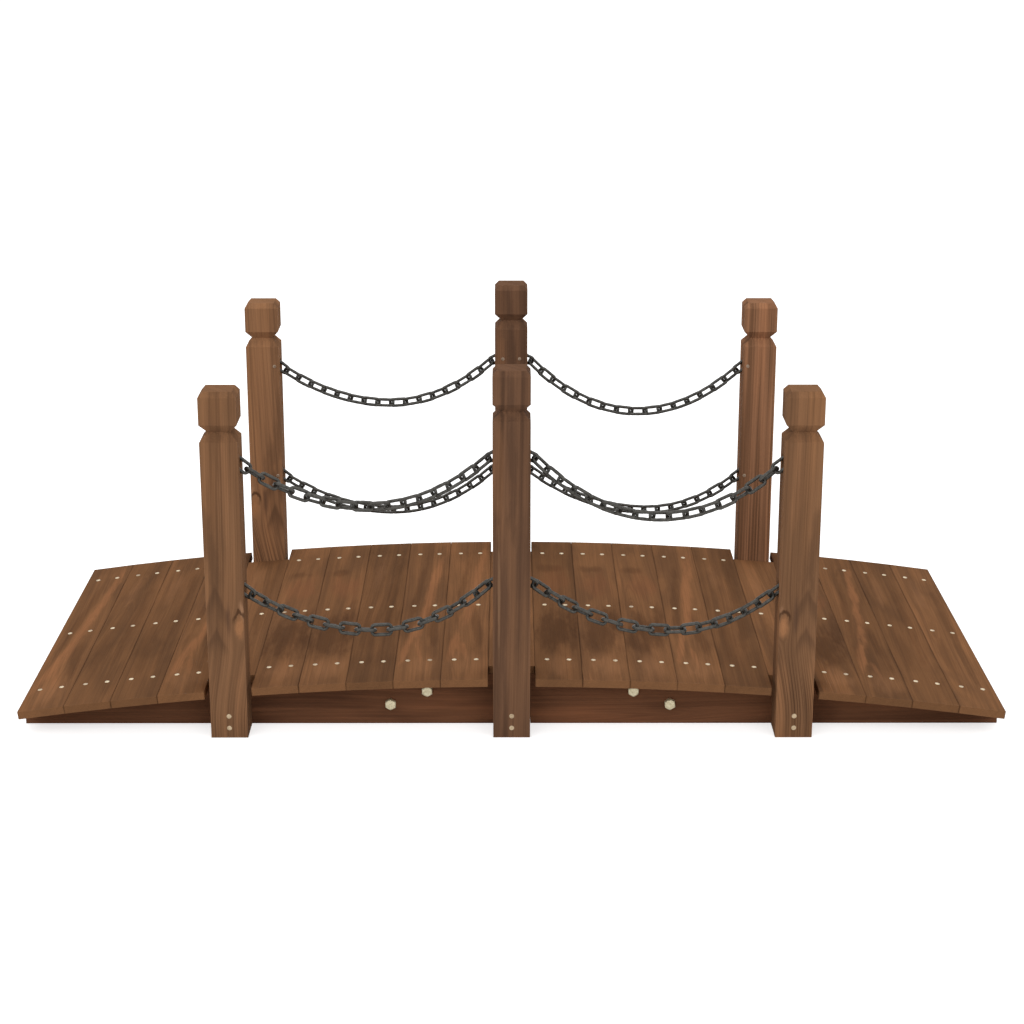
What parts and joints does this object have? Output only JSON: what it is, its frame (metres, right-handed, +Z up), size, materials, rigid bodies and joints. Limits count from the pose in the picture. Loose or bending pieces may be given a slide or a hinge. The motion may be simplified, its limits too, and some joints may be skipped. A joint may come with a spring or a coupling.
{
  "type": "wooden garden bridge",
  "caption": "Low arched garden footbridge of brown-stained planks on stringers, with grooved square posts along both sides and slack chains hung between them as railings.",
  "frame": {"origin": "middle of the footprint, on the ground under the crown of the deck", "axes": "+X along the walk, +Y from the front row of posts to the rear row, +Z up"},
  "size_m": [1.5, 0.67, 0.5715],
  "materials": {
    "stained_wood": "brown stain, sawn softwood, matt",
    "zinc_steel": "yellowish zinc plating",
    "chain_steel": "blackened welded steel links"
  },
  "bodies": {
    "root": {"plank_01": "stained_wood", "plank_02": "stained_wood", "plank_03": "stained_wood", "plank_04": "stained_wood", "plank_05": "stained_wood", "plank_06": "stained_wood", "plank_07": "stained_wood", "plank_08": "stained_wood", "plank_09": "stained_wood", "plank_10": "stained_wood", "plank_11": "stained_wood", "plank_12": "stained_wood", "plank_13": "stained_wood", "plank_14": "stained_wood", "plank_15": "stained_wood", "plank_16": "stained_wood", "plank_17": "stained_wood", "plank_18": "stained_wood", "plank_19": "stained_wood", "plank_20": "stained_wood", "plank_21": "stained_wood", "beam_front_left": "stained_wood", "beam_front_right": "stained_wood", "beam_middle_left": "stained_wood", "beam_middle_right": "stained_wood", "beam_rear_left": "stained_wood", "beam_rear_right": "stained_wood", "post_front_left": "stained_wood", "post_front_centre": "stained_wood", "post_front_right": "stained_wood", "post_rear_left": "stained_wood", "post_rear_centre": "stained_wood", "post_rear_right": "stained_wood", "splice_plates": "stained_wood", "splice_bolts": "zinc_steel", "chain_screws": "zinc_steel", "chain_front_left_upper": "chain_steel", "chain_front_left_lower": "chain_steel", "chain_front_right_upper": "chain_steel", "chain_front_right_lower": "chain_steel", "chain_rear_left_upper": "chain_steel", "chain_rear_left_lower": "chain_steel", "chain_rear_right_upper": "chain_steel", "chain_rear_right_lower": "chain_steel"}
  },
  "joints": []
}
